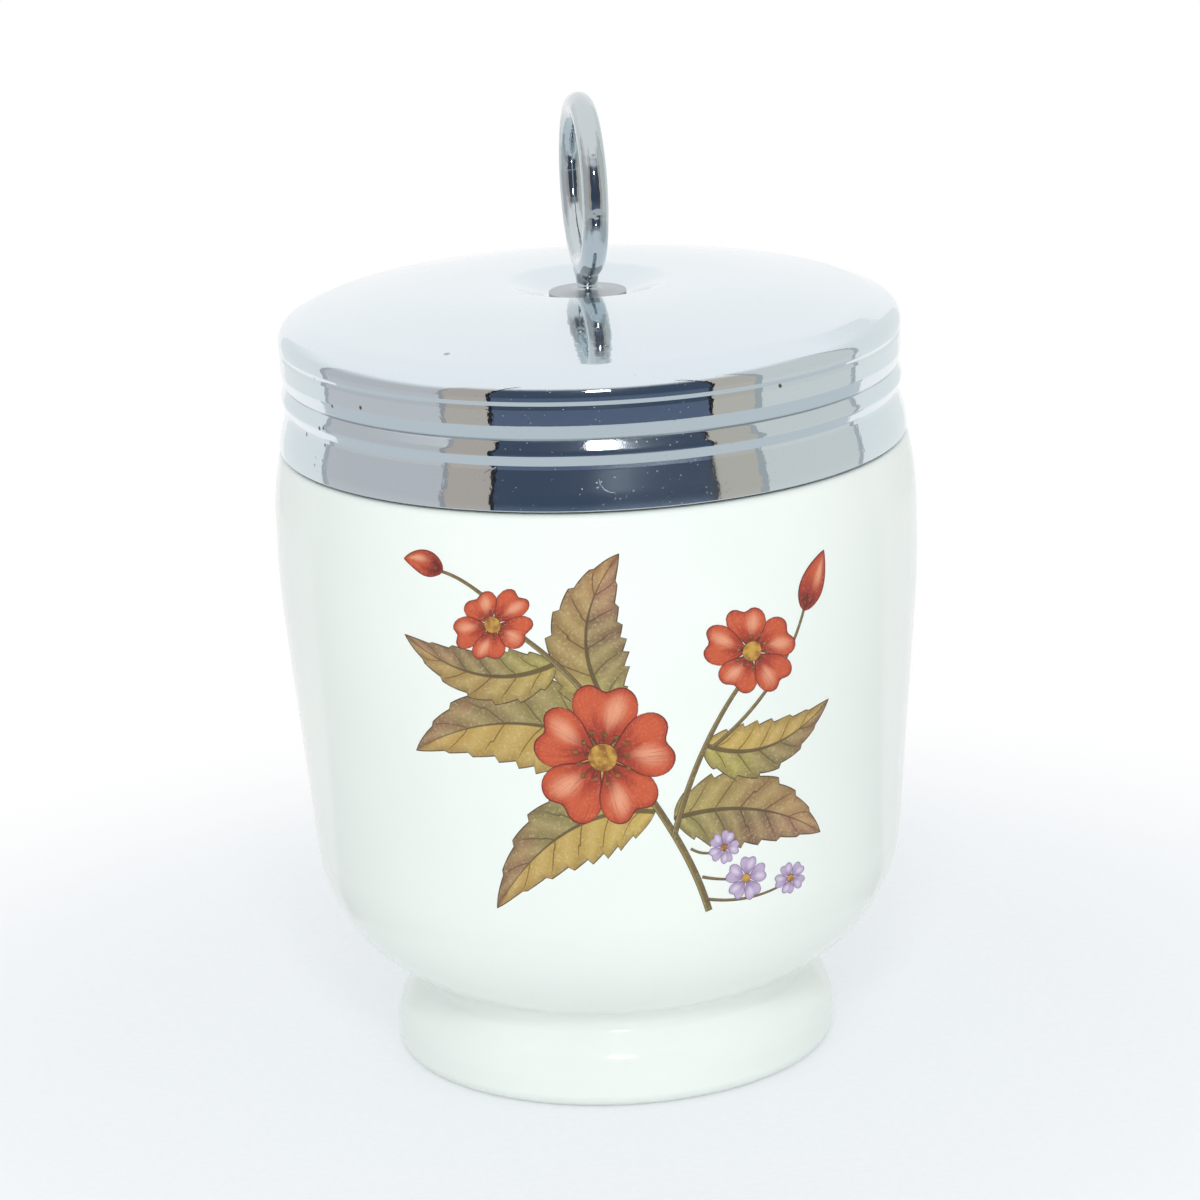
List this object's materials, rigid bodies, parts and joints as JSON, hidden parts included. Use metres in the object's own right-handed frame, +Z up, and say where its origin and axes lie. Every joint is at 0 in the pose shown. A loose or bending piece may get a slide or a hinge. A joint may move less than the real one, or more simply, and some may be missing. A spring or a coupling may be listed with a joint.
{
  "type": "egg coddler",
  "caption": "Egg coddler: a footed porcelain cup with a moulded screw neck, and a pressed chromed lid that unscrews and lifts off by its ring.",
  "frame": {"origin": "centre of the foot ring's flat base", "axes": "+Z up along the cup's axis and through the lifting ring, -Y the decorated front, the ring standing in the YZ plane"},
  "size_m": [0.07, 0.07, 0.1065],
  "materials": {
    "porcelain": "glossy glaze, white, with a printed floral spray",
    "chromed_shell": "polished chromium plate with fine pits",
    "band_metal": "plain pressed steel, satin",
    "chromed_ring": "polished chromium plate",
    "washer_metal": "plain steel, satin"
  },
  "bodies": {
    "cup": {"porcelain_cup": "porcelain"},
    "lid_hub": {"backing_washer": "washer_metal"},
    "lid": {"lid_shell": "chromed_shell", "screw_band": "band_metal", "lift_ring": "chromed_ring"}
  },
  "joints": [
    {"name": "lid_rise", "type": "slide", "parent": "cup", "child": "lid_hub", "axis": [0, 0, 1], "range_m": [0, 0.01501]},
    {"name": "lid_turn", "type": "hinge", "parent": "lid_hub", "child": "lid", "pos_m": [0, 0, 0.0693], "axis": [0, 0, 1], "range_deg": [0, 1080]}
  ],
  "couplings": [
    {"joint": "lid_rise", "follows": "lid_turn", "m_per_rad": 0.00079577}
  ]
}
